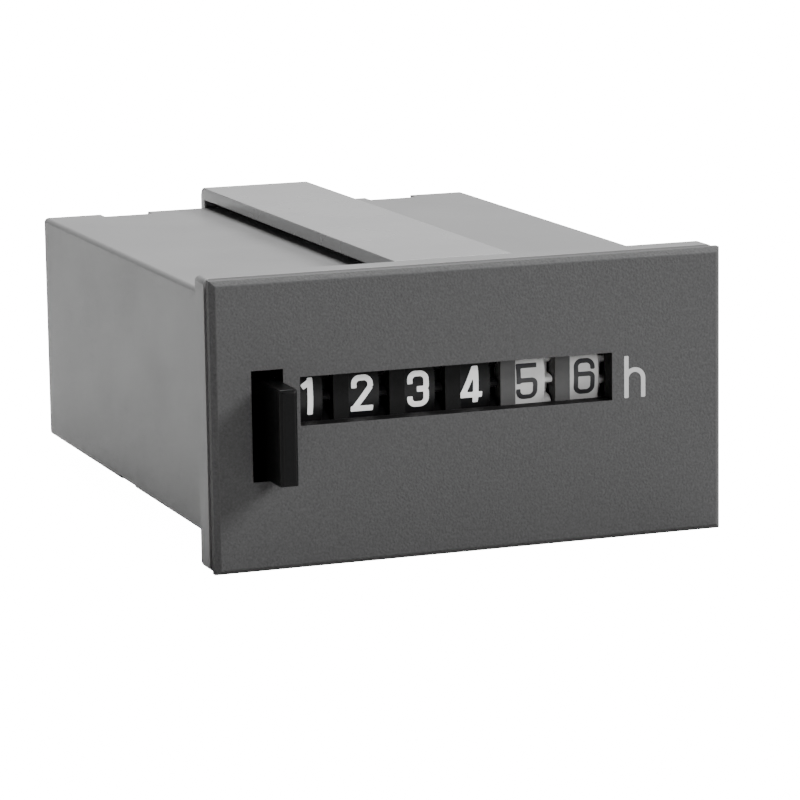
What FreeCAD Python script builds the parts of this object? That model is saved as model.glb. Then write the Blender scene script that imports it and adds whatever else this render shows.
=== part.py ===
"""Panel-mount hour meter: six number wheels, a manual reset lever and a slide-on mounting clip.

Millimetres. +X is to the right as the front is read, +Y runs back into the panel, +Z is up.
The origin is the centre of the panel plane, which is the back face of the bezel flange.
Every shaft in the counter movement runs along X, so most pieces are outlines in the YZ plane.
"""
import FreeCAD, Part
import os
from math import atan2, cos, hypot, pi, radians, sin

os.makedirs("parts", exist_ok=True)

# ---- driving dimensions -------------------------------------------------------------------
# bezel and housing
side_overlap = 1.85            # how far the bezel covers the panel beside the housing
edge_overlap = 2.15            # and above and below it
bezel_corner = 0.6             # round of the flange's corners, behind the sharp ones of the cover
cover_thickness = 2.4          # front cover, with the window and the reset slot
flange_thickness = 2.4         # bezel flange moulded on the housing, behind the cover
flange_rim = 1.1               # width of the flange's rim, which the cover sits inside
flange_rise = 1.1              # and how far that rim stands forward
groove_length = 0.8            # shadow groove around the joint between cover and flange
groove_depth = 0.4
cover_chamfer = 0.5
housing_width = 49.3
housing_height = 24.2
housing_depth = 61.0
housing_edge = 0.5
wall = 1.6
rear_cover_thickness = 1.8
snap_width = 5.4
snap_offset = 15.5             # snap tongues left and right of the centre line
snap_sink = 0.3
nick_length = 5.5
nick_size = 0.5
nick_place = 31.3
rib_places = (20.0, 44.0)      # stiffening ribs on the side walls
rib_height = 1.0
rib_thickness = 1.2
lip_height = 0.7               # lips on the cover that locate it in the housing
fit_gap = 0.1                  # clearance between pieces that are put together and stay put
air_gap = 0.2                  # clearance between pieces that move past each other

# window, wheels and reset slot
window_height = 4.75
window_centre_z = 2.1
window_start = 0.1             # the window begins this far inside the first digit band
window_end = 0.4               # and ends this far beyond the last one
window_pocket = 0.3            # relief behind the window, in front of the wheels
divider_root = 1.0             # how far the bars between the wheels run on above and below the window
divider_front = 0.2            # how deep the bars are let into the cover
divider_back = 1.2             # how far they reach back between the wheels
slot_width = 3.2
slot_height = 10.8
slot_offset = 0.55             # the slot's centre lies this far outside the lever's
wheel_count = 6
wheel_gap = 0.28               # between the heart cam of one wheel and the lock disc of the next
first_wheel_x = -16.2
wheel_radius = 7.5
band_width = 3.2
side_gear_width = 0.8
heart_width = 0.6
lock_disc_width = 0.9
lock_disc_radius = 5.15
heart_high = 3.0
heart_low = 1.9
wheel_rim = 1.2
wheel_shaft_radius = 1.0
bearing_gap = 0.04             # radial running fit of everything that turns on or in a metal pin

# toothed parts
counter_module = 0.7
wheel_teeth = 20
pinion_teeth = 8
output_teeth = 20
train_module = 0.3
train_gear_teeth = 48
gear_thickness = 0.5
hub_radius = 1.3
hub_length = 0.6
rim_width = 1.4                # from the pitch circle to the windows of a crossed-out gear
window_places = 5
tooth_play = 0.06              # gap added between flanks, per tooth, along the pitch circle
carrier_angle = -52.0          # where the transfer pinions sit, seen from the number wheels
output_angle = -12.0           # where the output arbor sits, seen from the number wheels
train_angle = 15.0             # the train zigzags back by this angle up and down
arbor_radius = 0.5
pinion_shaft_radius = 0.6

# frame of the movement
plate_thickness = 0.5
left_plate_gap = 0.15          # between the left plate and the first wheel's lock disc
right_plate_gap = 1.45         # room for the last wheel, the bail's arm and the output gear's hub
plate_depth = 47.0
bridge_x = 2.6
bridge_start = 16.9
pillar_radius = 1.1
pillar_rows = ((22.0, 1), (27.0, -1), (35.0, 1))   # distance behind the panel, upper or lower row
screw_radius = 0.6
screw_head_radius = 1.3
screw_head_height = 0.7

# reset parts
lever_width = 1.8
lever_gap = 0.2                # between the lever and the left plate
lever_top = 4.2
lever_bottom = -5.15
lever_reach = 4.8              # how far the bar stands out of the front face
lever_pivot = (-1.2, -8.9)
lever_boss = 1.1
lever_pin_radius = 0.6
lever_leg = (6.0, 11.3, -6.3)  # front, back and foot of the leg that works the bail and the spring
arm_root = (0.6, 3.6)          # lower and upper edge of the lever's arm where it leaves the bar
arm_end = (2.6, 5.4)           # the same two edges above its pushing face
arm_foot = -1.2                # how low the pushing face reaches
arm_toe = 1.6                  # thickness of the arm behind that face
arm_slope = 1.0
arm_sink = 1.0                 # how far the arm is rooted in the bar
lever_front_chamfer = 0.3
lever_back = 0.9               # from the pivot to the back of the bar
lever_neck = 2.0               # thickness of the bar's foot, down to the pivot
spring_place = 10.4
spring_radius = 0.72           # to the middle of the wire
spring_wire = 0.28
spring_turns = 4
comb_axis = (14.9, 8.6)
comb_boss = 1.35
comb_rest_radius = 6.5         # how far the hammers wait from the wheel axis
comb_crank_length = 8.0
crank_tip_radius = 0.6
crank_width = 0.7
hammer_width = 0.5
hammer_thickness = 0.9
comb_shaft_radius = 0.6
carrier_bar = (4.3, 205.0)     # bail bar: distance and angle from the pinion shaft
carrier_bar_radius = 0.8
carrier_swing = 8.9            # degrees that the bail swings to free the pinions
arm_thickness = 0.5

# motor and electronics
rotor_radius = 2.2
rotor_length = 3.0
rotor_x = 5.5
stator_x = 6.5
stator_thickness = 1.0
stator_start = 38.0
coil_to_rear = 7.5             # the coil's axis in front of the housing's rear edge
coil_radius = 3.2
core_width = 3.0
board_thickness = 1.2
board_top = -2.4
board_start = 22.5
board_to_rear = 4.5            # the board's rear edge in front of the housing's
chip_place = (-11.5, 38.5)
chip_size = (4.0, 5.0, 1.6)
chip_stand = 0.15
pin_reach = 1.0
pin_width = 0.4
pin_height = 0.5
pin_pitch = 1.27
pins_per_side = 4
crystal_span = (-8.0, -2.0)
crystal_place = 30.0
crystal_radius = 1.0
capacitor_place = (-5.0, 46.0)
capacitor_radius = 2.5
capacitor_height = 7.0

# terminals and clip
terminal_width = 6.3
terminal_thickness = 0.8
terminal_reach = 8.0
terminal_root = 11.0           # how far the blades reach in from the housing's rear edge
terminal_bevel = 1.2
terminal_eye = 0.85
terminal_eye_place = 0.55      # along the part that stands out
terminal_places = (-16.5, -10.0)
clip_width = 12.3
clip_thickness = 1.4
clip_standoff = 0.8
clip_foot = 4.5
clip_web = 1.5

# ---- places worked out from them ------------------------------------------------------------
bezel_width = housing_width + 2 * side_overlap
bezel_height = housing_height + 2 * edge_overlap
face_y = -flange_thickness - cover_thickness
parting_y = -flange_thickness - flange_rise
half_width = housing_width / 2
half_height = housing_height / 2
inner_half_width = half_width - wall
inner_half_height = half_height - wall
wheel_pitch = lock_disc_width + band_width + side_gear_width + heart_width + wheel_gap
last_wheel_x = first_wheel_x + wheel_pitch * (wheel_count - 1)
window_left = first_wheel_x - band_width / 2 + window_start
window_right = last_wheel_x + band_width / 2 + window_end
left_plate_x = first_wheel_x - band_width / 2 - lock_disc_width - left_plate_gap - plate_thickness
lever_centre_x = left_plate_x - lever_gap - lever_width / 2
slot_centre_x = lever_centre_x - slot_offset
right_plate_x = last_wheel_x + band_width / 2 + side_gear_width + heart_width + right_plate_gap
pillar_height = inner_half_height - screw_head_radius - fit_gap
pillar_places = [(place, up * pillar_height) for place, up in pillar_rows]
coil_place = housing_depth - coil_to_rear
board_end = housing_depth - board_to_rear
wheel_axis = (face_y + cover_thickness + wheel_radius, window_centre_z)
wheel_gear_radius = counter_module * wheel_teeth / 2
pinion_radius = counter_module * pinion_teeth / 2
output_radius = counter_module * output_teeth / 2
train_centres = train_module * (train_gear_teeth + pinion_teeth) / 2


def polar(origin, distance, angle):
    """A YZ point at a distance and an angle (degrees, from +Y towards +Z) from another."""
    a = radians(angle)
    return (origin[0] + distance * cos(a), origin[1] + distance * sin(a))


def heading(start, end):
    """The angle in degrees from one YZ point to another."""
    return atan2(end[1] - start[1], end[0] - start[0]) * 180 / pi


pinion_axis = polar(wheel_axis, wheel_gear_radius + pinion_radius, carrier_angle)
output_axis = polar(wheel_axis, wheel_gear_radius + output_radius, output_angle)
slow_axis = polar(output_axis, train_centres, train_angle)
fast_axis = polar(slow_axis, train_centres, -train_angle)
rotor_axis = polar(fast_axis, train_centres, train_angle)
right_plate_end = right_plate_x + plate_thickness
left_plate_end = left_plate_x + plate_thickness


# ---- shape helpers --------------------------------------------------------------------------
def save(name, shape):
    shape.exportStep("parts/" + name + ".step")


def box(x0, x1, y0, y1, z0, z1):
    return Part.makeBox(x1 - x0, y1 - y0, z1 - z0, FreeCAD.Vector(x0, y0, z0))


def rod(x0, x1, axis, radius):
    """A cylinder along X."""
    start = FreeCAD.Vector(x0, axis[0], axis[1])
    return Part.makeCylinder(radius, x1 - x0, start, FreeCAD.Vector(1, 0, 0))


def slab(x0, x1, outline):
    """A YZ outline drawn at x0 and pulled to x1."""
    points = [FreeCAD.Vector(x0, y, z) for y, z in outline]
    wire = Part.makePolygon(points + points[:1])
    return Part.Face(wire).extrude(FreeCAD.Vector(x1 - x0, 0, 0))


def fuse(shapes):
    """One solid from shapes that overlap or share faces."""
    first = shapes[0]
    joined = first.multiFuse(shapes[1:]).removeSplitter() if len(shapes) > 1 else first
    return joined.Solids[0] if len(joined.Solids) == 1 else joined


def cut(shape, tools):
    result = shape.cut(Part.makeCompound(tools))
    return result.Solids[0] if len(result.Solids) == 1 else result


def rounded_block(width, height, y0, y1, corner):
    """A block centred on the Y axis whose four long edges are rounded."""
    block = box(-width / 2, width / 2, y0, y1, -height / 2, height / 2)
    edges = [e for e in block.Edges if abs(e.tangentAt(e.FirstParameter).y) > 0.99]
    return block.makeFillet(corner, edges)


def tooth_profile(teeth, module, phase):
    """The outline of a spur gear with radial flanks and ogive tips, one tooth at phase degrees."""
    pitch_radius = module * teeth / 2
    tooth_angle = 360.0 / teeth
    half = tooth_angle / 4 - tooth_play / 2 / pitch_radius * 180 / pi
    lean = 0.82 if teeth <= pinion_teeth else 0.9
    steps = (
        (pitch_radius - 1.25 * module, 1.0),
        (pitch_radius - 0.15 * module, lean),
        (pitch_radius + 0.35 * module, lean * 0.72),
        (pitch_radius + 0.7 * module, lean * 0.34),
    )
    outline = []
    for tooth in range(teeth):
        middle = phase + tooth * tooth_angle
        for radius, share in steps:
            outline.append(polar((0, 0), radius, middle - half * share))
        for radius, share in reversed(steps):
            outline.append(polar((0, 0), radius, middle + half * share))
    return outline


def gear(x0, x1, axis, teeth, module, phase):
    outline = [(axis[0] + y, axis[1] + z) for y, z in tooth_profile(teeth, module, phase)]
    return slab(x0, x1, outline)


def meshed_phases(axis, other_axis, other_teeth):
    """Phases that put a tooth of the first gear in a gap of the other."""
    towards = heading(axis, other_axis)
    return towards, towards + 180 + 180.0 / other_teeth


def plate_with_holes(x0, x1, y0, y1, half_z, holes):
    plate = box(x0, x1, y0, y1, -half_z, half_z)
    return cut(plate, [rod(x0, x1, axis, radius) for axis, radius in holes])


# ---- housing, covers and terminals ------------------------------------------------------------
def snap_places():
    return [(side * snap_offset, up) for side in (-1, 1) for up in (-1, 1)]


def cover_seat():
    """The room inside the flange's rim, where the back of the front cover sits."""
    return box(
        -bezel_width / 2 + flange_rim, bezel_width / 2 - flange_rim, parting_y, -flange_thickness,
        -bezel_height / 2 + flange_rim, bezel_height / 2 - flange_rim,
    )


def make_housing():
    flange = rounded_block(bezel_width, bezel_height, parting_y, 0, bezel_corner).cut(cover_seat())
    groove_end = parting_y + groove_length
    groove = rounded_block(
        bezel_width - 2 * groove_depth, bezel_height - 2 * groove_depth,
        parting_y, groove_end, bezel_corner,
    )
    rebate = box(-bezel_width, bezel_width, parting_y, groove_end, -bezel_height, bezel_height).cut(groove)
    body = rounded_block(housing_width, housing_height, -flange_thickness / 2, housing_depth, housing_edge)
    cavity = box(
        -inner_half_width, inner_half_width, -flange_thickness, housing_depth,
        -inner_half_height, inner_half_height,
    )
    tools = [rebate, cavity]
    for x, up in snap_places():
        z0, z1 = sorted((up * (inner_half_height - fit_gap), up * (half_height + fit_gap)))
        start = housing_depth - rear_cover_thickness
        tools.append(box(x - snap_width / 2, x + snap_width / 2, start, housing_depth, z0, z1))
    for side in (-1, 1):
        x0, x1 = sorted((side * half_width, side * (half_width - nick_size)))
        y0 = nick_place - nick_length / 2
        tools.append(box(x0, x1, y0, y0 + nick_length, -half_height, -half_height + nick_size))
    shell = cut(flange.fuse(body), tools)
    return fuse([shell] + housing_ribs())


def housing_ribs():
    """Short ribs on the side walls that hold the lever pin and stiffen the shell."""
    y, z = lever_pivot
    pin_pad = box(
        -inner_half_width - fit_gap, lever_centre_x - lever_width / 2 - air_gap,
        y - lever_boss, y + lever_boss, -inner_half_height - fit_gap, z + lever_boss,
    )
    pads = [pin_pad.cut(rod(-half_width, 0, lever_pivot, lever_pin_radius))]
    for side in (-1, 1):
        for place in rib_places:
            x0, x1 = sorted((side * (inner_half_width + fit_gap), side * (inner_half_width - rib_height)))
            pads.append(box(x0, x1, place, place + rib_thickness, -inner_half_height - fit_gap, 0))
    return pads


def make_front_cover():
    front = box(-bezel_width / 2, bezel_width / 2, face_y, parting_y,
                -bezel_height / 2, bezel_height / 2)
    rim = [e for e in front.Edges if abs(e.BoundBox.YMax - face_y) < 1e-6]
    front = front.makeChamfer(cover_chamfer, rim).fuse(cover_seat())
    z0 = window_centre_z - window_height / 2
    z1 = window_centre_z + window_height / 2
    window = box(window_left, window_right, face_y, 0, z0, z1)
    wheel_pocket = box(
        left_plate_end, right_plate_x, -flange_thickness - window_pocket, 0,
        z0 - wheel_radius / 2, z1 + wheel_radius / 2,
    )
    slot = box(
        slot_centre_x - slot_width / 2, slot_centre_x + slot_width / 2, face_y, 0,
        -slot_height / 2, slot_height / 2,
    )
    front = cut(front, [window, wheel_pocket, slot])
    lips = window_dividers(z0, z1)
    for up in (-1, 1):
        z0, z1 = sorted((up * (inner_half_height - fit_gap), up * (inner_half_height - lip_height)))
        lips.append(box(left_plate_end + 1, right_plate_x - 1,
                        -flange_thickness - fit_gap, -flange_thickness / 2, z0, z1))
    return fuse([front] + lips)


def window_dividers(z0, z1):
    """Upright bars behind the window that fill the gaps between the number wheels."""
    front = -flange_thickness - window_pocket - divider_front
    bars = []
    for index in range(wheel_count - 1):
        x0 = first_wheel_x + wheel_pitch * index + band_width / 2 + side_gear_width + air_gap / 2
        x1 = first_wheel_x + wheel_pitch * (index + 1) - band_width / 2 - air_gap / 2
        bars.append(box(x0, x1, front, -flange_thickness + divider_back,
                        z0 - divider_root, z1 + divider_root))
    return bars


def make_rear_cover():
    start = housing_depth - rear_cover_thickness
    plate = box(
        -inner_half_width + fit_gap, inner_half_width - fit_gap, start, housing_depth,
        -inner_half_height + fit_gap, inner_half_height - fit_gap,
    )
    tongues = []
    for x, up in snap_places():
        z0, z1 = sorted((up * (inner_half_height - 1), up * (half_height - snap_sink)))
        tongues.append(box(
            x - snap_width / 2 + fit_gap, x + snap_width / 2 - fit_gap,
            start + fit_gap, housing_depth, z0, z1,
        ))
    slots = [terminal_blade(x) for x in terminal_places]
    return cut(fuse([plate] + tongues), slots)


def terminal_blade(x):
    """A blade on edge; its inner end stands on the circuit board, its outer end is bevelled."""
    z0 = board_top
    z1 = board_top + terminal_width
    y0 = housing_depth - terminal_root
    y1 = housing_depth + terminal_reach
    bevel = terminal_bevel
    outline = [(y0, z0), (y1 - bevel, z0), (y1, z0 + bevel), (y1, z1 - bevel),
               (y1 - bevel, z1), (y0, z1)]
    half = terminal_thickness / 2
    return slab(x - half, x + half, outline)


def make_terminal(x):
    eye = (housing_depth + terminal_reach * terminal_eye_place, board_top + terminal_width / 2)
    return cut(terminal_blade(x), [rod(x - terminal_width, x + terminal_width, eye, terminal_eye)])


# ---- mounting clip ------------------------------------------------------------------------------
def make_mounting_clip():
    """A U in the YZ plane: two legs over and under the housing, joined behind the rear cover."""
    y0 = fit_gap
    y1 = housing_depth + fit_gap
    foot = half_height + fit_gap
    low = half_height + clip_standoff
    high = low + clip_thickness
    upper = [(y0, foot), (y0, high), (y1 + clip_web, high)]
    lower = [(y, -z) for y, z in reversed(upper)]
    inside = [(y0 + clip_foot, -foot), (y0 + clip_foot, -low), (y1, -low),
              (y1, low), (y0 + clip_foot, low), (y0 + clip_foot, foot)]
    clip = slab(-clip_width / 2, clip_width / 2, upper + lower + inside)
    corners = [
        e for e in clip.Edges
        if abs(e.tangentAt(e.FirstParameter).x) > 0.99 and e.BoundBox.YMin > y1 + clip_web - 0.01
    ]
    return clip.makeFillet(clip_thickness * 0.8, corners)


# ---- frame of the movement ------------------------------------------------------------------------
def make_frame_plate(x0, holes):
    half_z = inner_half_height
    pillars = [(place, screw_radius) for place in pillar_places]
    return plate_with_holes(x0, x0 + plate_thickness, lever_pivot[0] - lever_boss, plate_depth,
                            half_z, holes + pillars)


def running(axis, radius):
    return (axis, radius + bearing_gap)


def make_train_bridge():
    holes = [running(axis, arbor_radius) for axis in (output_axis, slow_axis, fast_axis, rotor_axis)]
    pillars = [(place, pillar_radius) for place in pillar_places]
    posts = [(place, screw_radius) for place in stator_post_places()]
    return plate_with_holes(bridge_x, bridge_x + plate_thickness, bridge_start, plate_depth,
                            inner_half_height, holes + pillars + posts)


def make_frame_pillars():
    pillars = []
    for place in pillar_places:
        pillar = rod(left_plate_end, right_plate_x, place, pillar_radius)
        depth = 4.0
        ends = [rod(left_plate_end, left_plate_end + depth, place, screw_radius),
                rod(right_plate_x - depth, right_plate_x, place, screw_radius)]
        pillars.append(cut(pillar, ends))
    return Part.makeCompound(pillars)


def make_frame_screws():
    screws = []
    depth = 3.5
    for place in pillar_places:
        left_head = left_plate_x - screw_head_height
        screws.append(fuse([rod(left_head, left_plate_x, place, screw_head_radius),
                            rod(left_head, left_plate_end + depth, place, screw_radius)]))
        right_head = right_plate_end + screw_head_height
        screws.append(fuse([rod(right_plate_end, right_head, place, screw_head_radius),
                            rod(right_plate_x - depth, right_head, place, screw_radius)]))
    slots = []
    for screw in screws:
        bounds = screw.BoundBox
        outer = bounds.XMin if bounds.XMin < 0 else bounds.XMax
        middle = bounds.Center
        slots.append(box(outer - 0.35, outer + 0.35, middle.y - 2, middle.y + 2,
                         middle.z - 0.2, middle.z + 0.2))
    return Part.makeCompound([cut(screw, [slot]) for screw, slot in zip(screws, slots)])


# ---- number wheels and transfer pinions --------------------------------------------------------------
def heart(x0, x1, axis, phase):
    """A heart cam: two spirals that rise from the low point to the high point on the far side."""
    count = 24
    outline = []
    for step in range(count):
        turn = 360.0 * step / count
        rise = 1 - abs(turn - 180.0) / 180.0
        outline.append(polar(axis, heart_low + (heart_high - heart_low) * rise, phase + turn))
    return slab(x0, x1, outline)


def hammer_angle():
    """Where the hammer faces the heart cams, seen from the wheel axis."""
    return heading(wheel_axis, hammer_point(comb_rest_radius))


def hammer_point(radius):
    """Foot of the line from the comb axis that passes the wheel axis at a radius, on its upper side."""
    span = hypot(comb_axis[0] - wheel_axis[0], comb_axis[1] - wheel_axis[1])
    reach = (span ** 2 - radius ** 2) ** 0.5
    lean = atan2(radius, reach) * 180 / pi
    return polar(comb_axis, reach, heading(comb_axis, wheel_axis) - lean)


def make_number_wheel(index):
    """From left to right: locking disc, digit band, 20-tooth gear and heart cam, in one moulding."""
    x = first_wheel_x + wheel_pitch * index
    left = x - band_width / 2
    right = x + band_width / 2
    if index < wheel_count - 1:
        phase = heading(wheel_axis, pinion_axis)
    else:
        phase = heading(wheel_axis, output_axis)
    gear_end = right + side_gear_width
    pieces = [
        rod(left - lock_disc_width, left, wheel_axis, lock_disc_radius),
        rod(left, right, wheel_axis, wheel_radius),
        gear(right, gear_end, wheel_axis, wheel_teeth, counter_module, phase),
        heart(gear_end, gear_end + heart_width, wheel_axis, hammer_angle()),
    ]
    pocket = rod(left - lock_disc_width, right - wheel_rim, wheel_axis, lock_disc_radius - wheel_rim)
    hub = rod(left - lock_disc_width, right, wheel_axis, wheel_shaft_radius * 2)
    notch = polar(wheel_axis, lock_disc_radius, heading(wheel_axis, pinion_axis))
    tools = [
        pocket.cut(hub),
        rod(left - lock_disc_width, left, notch, counter_module),
        rod(left - 1, gear_end + heart_width, wheel_axis, wheel_shaft_radius + bearing_gap),
    ]
    return cut(fuse(pieces), tools)


def transfer_pinion_span(index):
    """Pinion between wheel index and the next: over one gear and the next locking disc."""
    start = first_wheel_x + wheel_pitch * index + band_width / 2
    end = first_wheel_x + wheel_pitch * (index + 1) - band_width / 2
    return start + fit_gap, end - fit_gap


def make_transfer_pinion(index):
    x0, x1 = transfer_pinion_span(index)
    own_phase = meshed_phases(wheel_axis, pinion_axis, pinion_teeth)[1]
    teeth = gear(x0, x1, pinion_axis, pinion_teeth, counter_module, own_phase)
    return cut(teeth, [rod(x0, x1, pinion_axis, pinion_shaft_radius + bearing_gap)])


def make_pinion_carrier():
    """A bail: two arms that swing about the output arbor's line, joined by a bar under the wheels."""
    bar = polar(pinion_axis, *carrier_bar)
    arms = []
    for x0, x1, pivot_hole in carrier_arms():
        body = [rod(x0, x1, place, radius) for place, radius in
                ((bar, 1.2), (pinion_axis, 1.4), (output_axis, 1.5))]
        body += [strip(x0, x1, bar, pinion_axis, 1.6), strip(x0, x1, pinion_axis, output_axis, 1.6)]
        holes = [rod(x0, x1, pinion_axis, pinion_shaft_radius), rod(x0, x1, output_axis, pivot_hole)]
        arms.append(cut(fuse(body), holes))
    return fuse(arms + [rod(crank_span()[0], carrier_arms()[1][1], bar, carrier_bar_radius)])


def bar_slot(x0, x1):
    """The curved slot in the left plate that lets the bail's bar swing."""
    bar = polar(pinion_axis, *carrier_bar)
    reach = hypot(bar[0] - output_axis[0], bar[1] - output_axis[1])
    start = heading(output_axis, bar)
    steps = 4
    tools = []
    for step in range(steps + 1):
        place = polar(output_axis, reach, start + carrier_swing * step / steps)
        tools.append(rod(x0, x1, place, carrier_bar_radius + air_gap))
    return tools


def carrier_arms():
    left = left_plate_end + air_gap
    right = right_plate_x - air_gap
    hole = arbor_radius + bearing_gap
    return ((left, left + arm_thickness, hole), (right - arm_thickness, right, hole))


def strip(x0, x1, start, end, width):
    """A straight bar of a given width between two YZ points."""
    across = heading(start, end) + 90
    outline = [polar(start, width / 2, across), polar(end, width / 2, across),
               polar(end, -width / 2, across), polar(start, -width / 2, across)]
    return slab(x0, x1, outline)


def make_carrier_stud():
    """The short stud in the left plate that carries the bail's left arm."""
    return rod(left_plate_x, carrier_arms()[0][1] + arm_thickness, output_axis, arbor_radius)


# ---- reset lever and comb ------------------------------------------------------------------------------
def hammer_span(index):
    start = first_wheel_x + wheel_pitch * index + band_width / 2 + side_gear_width
    middle = start + heart_width / 2
    return middle - hammer_width / 2, middle + hammer_width / 2


def make_reset_comb():
    """A tube on the comb shaft with one hammer per wheel; the hammers lie over the heart cams."""
    tip = hammer_point(comb_rest_radius)
    along = heading(comb_axis, tip)
    lift = along - 90
    shift = hammer_thickness / 2
    root = polar(comb_axis, shift, lift)
    end = polar(polar(tip, shift, lift), 1.0, along)
    x0 = hammer_span(0)[0] - 1
    x1 = hammer_span(wheel_count - 1)[1] + 0.4
    tube = rod(x0, x1, comb_axis, comb_boss)
    hammers = [strip(*hammer_span(i), root, end, hammer_thickness) for i in range(wheel_count)]
    return cut(fuse([tube] + hammers), [rod(x0, x1, comb_axis, comb_shaft_radius)])


def crank_span():
    middle = lever_centre_x
    return middle - lever_width / 4, middle + lever_width / 4


def make_comb_crank():
    """The arm on the left end of the comb shaft; the lever pushes its round tip back."""
    x0, x1 = crank_span()
    tip = polar(comb_axis, comb_crank_length, -90)
    body = [rod(x0, x1, comb_axis, comb_boss), strip(x0, x1, comb_axis, tip, crank_width),
            rod(x0, x1, tip, crank_tip_radius)]
    return cut(fuse(body), [rod(x0, x1, comb_axis, comb_shaft_radius)])


def make_comb_shaft():
    return rod(crank_span()[0], right_plate_end, comb_axis, comb_shaft_radius)


def make_reset_lever():
    """The bar that is pressed, its foot on the pivot pin, and the arm that pushes the comb crank."""
    x0 = lever_centre_x - lever_width / 2
    x1 = lever_centre_x + lever_width / 2
    front = face_y - lever_reach
    back = lever_pivot[0] + lever_back
    bar = box(x0, x1, front, back, lever_bottom, lever_top)
    edges = [e for e in bar.Edges if e.BoundBox.YMax < front + 1e-6]
    bar = bar.makeChamfer(lever_front_chamfer, edges)
    neck = box(x0, x1, back - lever_neck, back, lever_pivot[1], lever_top)
    boss = rod(x0, x1, lever_pivot, lever_boss)
    leg_front, leg_back, foot = lever_leg
    leg = box(*crank_span(), leg_front, leg_back, foot, arm_root[1])
    pieces = [bar, neck, boss, lever_arm(back), leg]
    return cut(fuse(pieces), [rod(x0, x1, lever_pivot, lever_pin_radius + bearing_gap)])


def lever_arm(back):
    """A flat arm that runs back from the bar and ends just in front of the crank's tip."""
    tip = polar(comb_axis, comb_crank_length, -90)
    end = tip[0] - crank_tip_radius - air_gap
    root = back - arm_sink
    heel = end - arm_toe
    outline = [(root, arm_root[1]), (heel, arm_end[1]), (end, arm_end[1] - arm_slope), (end, arm_foot),
               (heel, arm_foot), (heel - arm_slope, arm_end[0]), (root, arm_root[0])]
    return slab(*crank_span(), outline)


def make_lever_pin():
    return rod(-inner_half_width, left_plate_end, lever_pivot, lever_pin_radius)


def make_lever_spring():
    """A coil spring that stands on the floor of the housing and lifts the lever's leg."""
    low = -inner_half_height + spring_wire / 2
    high = lever_leg[2] - spring_wire / 2
    pitch = (high - low) / spring_turns
    helix = Part.makeHelix(pitch, high - low, spring_radius)
    start = FreeCAD.Vector(spring_radius, 0, 0)
    section = Part.Wire([Part.makeCircle(spring_wire / 2, start, FreeCAD.Vector(0, 1, 0))])
    coil = Part.Wire(helix.Edges).makePipeShell([section], True, True)
    coil.translate(FreeCAD.Vector(sum(crank_span()) / 2, spring_place, low))
    return coil


# ---- gear train --------------------------------------------------------------------------------------------
output_layer = (last_wheel_x + band_width / 2 + fit_gap, last_wheel_x + band_width / 2 + side_gear_width)
layer_step = 2.4


def train_layer(stage):
    """The X span of the gear on each arbor: stage 0 is on the output arbor, 2 on the fast arbor."""
    if stage == 0:
        start = carrier_arms()[1][0] - air_gap - gear_thickness
    else:
        start = output_layer[0] - 0.7 - layer_step * (stage - 1) - gear_thickness
    return start, start + gear_thickness


def train_axes():
    return (output_axis, slow_axis, fast_axis, rotor_axis)


def make_arbor(stage):
    """A steel arbor between bridge and right plate; all but the output one carry a cut pinion."""
    axis = train_axes()[stage]
    end = right_plate_end
    shaft = rod(bridge_x, end, axis, arbor_radius)
    if stage == 0:
        return shaft
    x0, x1 = train_layer(stage - 1)
    phase = meshed_phases(train_axes()[stage - 1], axis, pinion_teeth)[1]
    leaves = gear(x0 - fit_gap, x1 + fit_gap, axis, pinion_teeth, train_module, phase)
    return fuse([shaft, leaves])


def gear_windows(x0, x1, axis, rim):
    """Round windows between the hub and the rim of a gear, evenly spaced."""
    radius = (rim - hub_radius) / 2
    middle = (rim + hub_radius) / 2
    turn = 360 / window_places
    return [rod(x0, x1, polar(axis, middle, turn * i), radius * 0.85) for i in range(window_places)]


def make_train_gear(stage):
    """A 48-tooth wheel pressed on the arbor of its stage, crossed out with five round windows."""
    axis = train_axes()[stage]
    x0, x1 = train_layer(stage)
    phase = meshed_phases(axis, train_axes()[stage + 1], pinion_teeth)[0]
    disc = gear(x0, x1, axis, train_gear_teeth, train_module, phase)
    hub = rod(x0 - hub_length, x1, axis, hub_radius)
    rim = train_module * train_gear_teeth / 2 - rim_width
    return cut(fuse([cut(disc, gear_windows(x0, x1, axis, rim)), hub]),
               [rod(x0 - hub_length, x1, axis, arbor_radius)])


def make_output_gear():
    phase = meshed_phases(wheel_axis, output_axis, output_teeth)[1]
    x0, x1 = output_layer
    disc = gear(x0, x1, output_axis, output_teeth, counter_module, phase)
    windows = gear_windows(x0, x1, output_axis, output_radius - rim_width)
    return cut(disc, windows + [rod(x0, x1, output_axis, arbor_radius)])


# ---- motor and electronics -----------------------------------------------------------------------------------
def make_rotor_magnet():
    magnet = rod(rotor_x, rotor_x + rotor_length, rotor_axis, rotor_radius)
    return cut(magnet, [rod(rotor_x, rotor_x + rotor_length, rotor_axis, arbor_radius)])


def stator_post_places():
    return ((stator_start + 2.0, 8.0), (stator_start + 2.0, -8.0))


def core_half():
    return inner_half_height - 1.2


def make_stator():
    """A laminated C: the rotor turns in its hole and the coil core closes it behind."""
    x0 = stator_x
    x1 = stator_x + stator_thickness
    half = core_half()
    end = coil_place + core_width / 2 + 0.5
    body = box(x0, x1, stator_start, end, -half, half)
    window = box(x0, x1, coil_place - coil_radius - 1.2, end, -half + 2.2, half - 2.2)
    holes = [rod(x0, x1, rotor_axis, rotor_radius + 0.4)]
    holes += [rod(x0, x1, place, screw_radius) for place in stator_post_places()]
    return cut(body, [window] + holes)


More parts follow.
